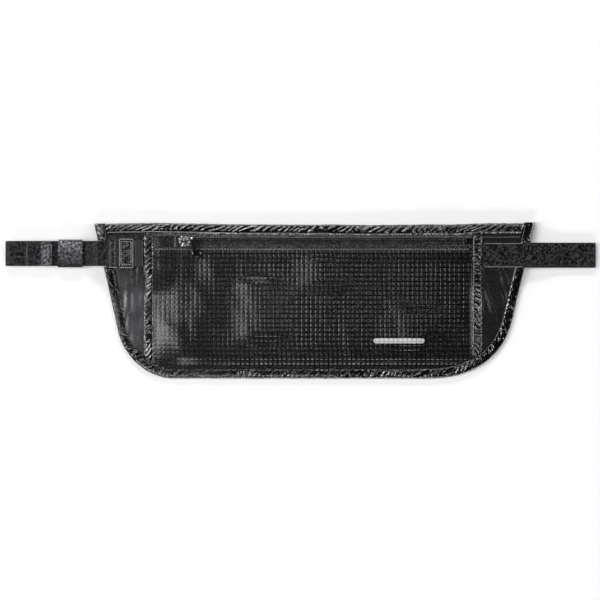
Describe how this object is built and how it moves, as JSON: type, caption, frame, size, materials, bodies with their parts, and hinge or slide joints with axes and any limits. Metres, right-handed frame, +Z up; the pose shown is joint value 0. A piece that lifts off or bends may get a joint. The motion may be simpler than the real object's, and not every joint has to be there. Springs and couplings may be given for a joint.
{
  "type": "money belt",
  "caption": "Flat fabric waist pouch with a zipped document pocket, shaped wings, bound edges and a folded elastic strap joined by an adjustable side-release buckle.",
  "frame": {"origin": "The middle of the underside of the whole object's box, on the surface that the belt lies on.", "axes": "+X runs along the belt, from the strap's hemmed end towards the plain end, as a viewer facing the front sees left to right. +Y points to the pouch's top edge. +Z points up, out of the pouch's front."},
  "size_m": [0.4728, 0.1242, 0.0128],
  "materials": {
    "ripstop": "fine ripstop grid weave, slight sheen",
    "lining": "matt knitted backing",
    "binding_tape": "satin folded tape, puckered",
    "print": "flat light grey ink",
    "zip_tape": "matt woven tape",
    "zip_coil": "nylon coil",
    "zip_metal": "glossy black enamel",
    "pull_rubber": "satin moulded",
    "elastic": "ribbed knitted elastic, matt",
    "buckle_plastic": "moulded acetal"
  },
  "bodies": {
    "belt": {"back_panel": "lining", "base_panel": "ripstop", "pocket_front": "ripstop", "edge_binding": "binding_tape", "top_binding": "binding_tape", "pocket_binding_left": "binding_tape", "pocket_binding_right": "binding_tape", "printed_bar": "print", "zip_tape_upper": "zip_tape", "zip_tape_lower": "zip_tape", "zip_coil_upper": "zip_coil", "zip_coil_lower": "zip_coil", "zip_top_stop_upper": "zip_metal", "zip_top_stop_lower": "zip_metal", "zip_bottom_stop": "zip_metal", "zip_end_tab": "zip_tape", "strap_left": "elastic", "strap_tail": "elastic", "strap_right": "elastic", "anchor_tab": "elastic", "buckle_female": "buckle_plastic"},
    "slider": {"zip_slider": "zip_metal"},
    "link": {"pull_link": "zip_metal"},
    "grip": {"pull_grip": "pull_rubber"},
    "keeper": {"strap_keeper": "elastic"},
    "clasp": {"buckle_male": "buckle_plastic", "strap_loop": "elastic"},
    "latch_upper": {"buckle_latch_upper": "buckle_plastic"},
    "latch_lower": {"buckle_latch_lower": "buckle_plastic"}
  },
  "joints": [
    {"name": "zip_travel", "type": "slide", "parent": "belt", "child": "slider", "axis": [1, 0, 0], "range_m": [0, 0.216]},
    {"name": "pull_lift", "type": "hinge", "parent": "slider", "child": "link", "pos_m": [-0.09315, 0.047, 0.0095], "axis": [0, -1, 0], "range_deg": [0, 100]},
    {"name": "grip_swing", "type": "hinge", "parent": "link", "child": "grip", "pos_m": [-0.08721, 0.047, 0.01109], "axis": [0, 0, 1], "range_deg": [-30, 55]},
    {"name": "keeper_slide", "type": "slide", "parent": "belt", "child": "keeper", "axis": [1, 0, 0], "range_m": [-0.034, 0]},
    {"name": "buckle_release", "type": "slide", "parent": "belt", "child": "clasp", "axis": [-1, 0, 0], "range_m": [0, 0.018], "deforming": ["strap_loop", "buckle_latch_upper", "buckle_latch_lower"]},
    {"name": "latch_press_upper", "type": "hinge", "parent": "clasp", "child": "latch_upper", "pos_m": [-0.1392, 0.0447, 0.0025], "axis": [0, 0, -1], "range_deg": [0, 13], "stiffness_Nm_per_rad": 0.01},
    {"name": "latch_press_lower", "type": "hinge", "parent": "clasp", "child": "latch_lower", "pos_m": [-0.1392, 0.0297, 0.0025], "axis": [0, 0, 1], "range_deg": [0, 13], "stiffness_Nm_per_rad": 0.01}
  ],
  "couplings": [
    {"joint": "latch_press_lower", "follows": "latch_press_upper", "ratio": 1}
  ]
}
